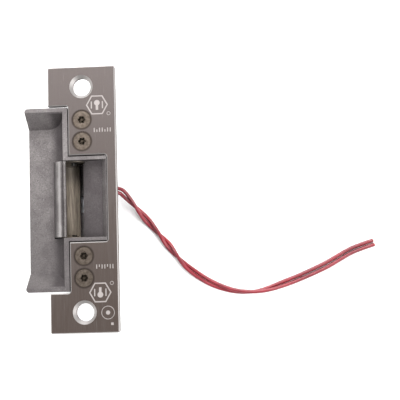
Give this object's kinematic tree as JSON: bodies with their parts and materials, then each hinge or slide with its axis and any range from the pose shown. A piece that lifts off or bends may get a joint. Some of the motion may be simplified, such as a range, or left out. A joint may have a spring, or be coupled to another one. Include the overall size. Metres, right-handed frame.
{
  "type": "electric door strike",
  "caption": "Electric door strike: notched faceplate, curved lip, swinging jaw in a window, solenoid lock in the case behind, and a twisted pair of leads.",
  "frame": {"origin": "middle of the two fixing holes, on the rear face of the faceplate", "axes": "+Z out of the faceplate's front, +Y along the faceplate's length, +X away from the lip"},
  "size_m": [0.165, 0.1238, 0.0381],
  "materials": {
    "faceplate": "satin, warm grey, fine brushing and chamfered edges",
    "face_screws": "olive brown plated steel",
    "casting": "fine sand-cast grey metal, slightly rough",
    "jaw": "smooth cast metal, olive tan inside the hollow",
    "plated_steel": "bright zinc-plated steel",
    "spring_steel": "bright spring wire",
    "black_steel": "black phosphated spring steel",
    "yellow_steel": "yellow passivated steel",
    "bobbin": "cream moulded nylon",
    "copper": "enamelled copper winding",
    "tape": "amber insulating tape",
    "cover": "plain zinc-plated sheet steel",
    "rubber": "matt black rubber",
    "lead_red": "crimson red soft insulation, semi-gloss"
  },
  "bodies": {
    "case": {"faceplate": "faceplate", "faceplate_screws": "face_screws", "case_casting": "casting", "jaw_pins": "plated_steel", "jaw_spring": "spring_steel", "carrier_plate": "plated_steel", "carrier_screws": "plated_steel", "lever_pin": "plated_steel", "lever_clips": "black_steel", "solenoid_frame": "yellow_steel", "solenoid_screws": "plated_steel", "solenoid_bobbin": "bobbin", "coil_winding": "copper", "coil_tape": "tape", "pole_piece": "plated_steel", "plunger_spring": "spring_steel", "back_cover": "cover", "cover_screws": "plated_steel", "wire_grommet": "rubber", "coil_leads": "lead_red", "lead_wire_one": "lead_red", "lead_wire_two": "lead_red"},
    "jaw": {"jaw": "jaw"},
    "plunger": {"solenoid_plunger": "plated_steel", "cross_pin": "plated_steel", "plunger_clip": "black_steel"},
    "lever": {"lock_lever": "yellow_steel"}
  },
  "joints": [
    {"name": "jaw_pivot", "type": "hinge", "parent": "case", "child": "jaw", "pos_m": [-0.0052, 0, -0.0054], "axis": [0, -1, 0], "range_deg": [0, 62], "stiffness_Nm_per_rad": 0.02, "springref_deg": -34.38, "deforming": ["jaw_spring"]},
    {"name": "plunger_slide", "type": "slide", "parent": "case", "child": "plunger", "axis": [0, 1, 0], "range_m": [0, 0.0018], "stiffness_N_per_m": 300, "springref_m": -0.0015, "deforming": ["plunger_spring"]},
    {"name": "lever_pivot", "type": "hinge", "parent": "case", "child": "lever", "pos_m": [-0.0033, -0.008, -0.0202], "axis": [1, 0, 0], "range_deg": [0, 18]}
  ],
  "couplings": [
    {"joint": "lever_pivot", "follows": "plunger_slide", "rad_per_m": 172.78}
  ]
}
